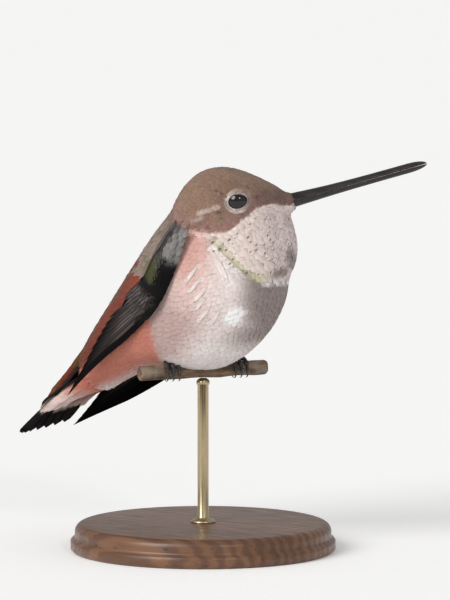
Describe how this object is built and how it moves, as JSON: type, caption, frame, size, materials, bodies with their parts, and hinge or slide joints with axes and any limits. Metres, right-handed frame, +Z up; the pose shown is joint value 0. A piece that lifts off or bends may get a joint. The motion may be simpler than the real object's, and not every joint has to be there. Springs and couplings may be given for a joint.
{
  "type": "hummingbird",
  "caption": "Hummingbird perched upright on a twig, wings folded and long bill raised, on a plain round display stand.",
  "frame": {"origin": "on the floor, in the middle of the round base's underside", "axes": "+X the way the breast faces, +Y towards the bird's left, +Z up"},
  "size_m": [0.0591, 0.0378, 0.0558],
  "materials": {
    "plumage_crown": "matte, scaly brown feathers",
    "plumage_throat": "matte, pale feathers with dusky spots",
    "plumage_pale": "matte, soft pinkish-white feathers",
    "plumage_rufous": "matte, rust-brown feathers",
    "covert": "satin, grey-green feathers",
    "flight_feather": "satin, blackish vanes",
    "bill": "satin horn",
    "eye": "wet gloss",
    "foot": "scaly, satin",
    "perch": "bark, matte",
    "stand_wood": "oiled, satin",
    "stand_metal": "satin"
  },
  "bodies": {
    "root": {"bill_lower": "bill", "bill_upper": "bill", "eye_left": "eye", "eye_right": "eye", "foot_left": "foot", "foot_right": "foot", "head": "plumage_crown", "leg_left": "plumage_pale", "leg_right": "plumage_pale", "neck": "plumage_throat", "rump": "plumage_rufous", "stand_base": "stand_wood", "stand_perch": "perch", "stand_rod": "stand_metal", "tail": "flight_feather", "trunk": "plumage_pale", "wing_left_coverts": "covert", "wing_left_primaries": "flight_feather", "wing_left_secondaries": "flight_feather", "wing_right_coverts": "covert", "wing_right_primaries": "flight_feather", "wing_right_secondaries": "flight_feather"}
  },
  "joints": []
}
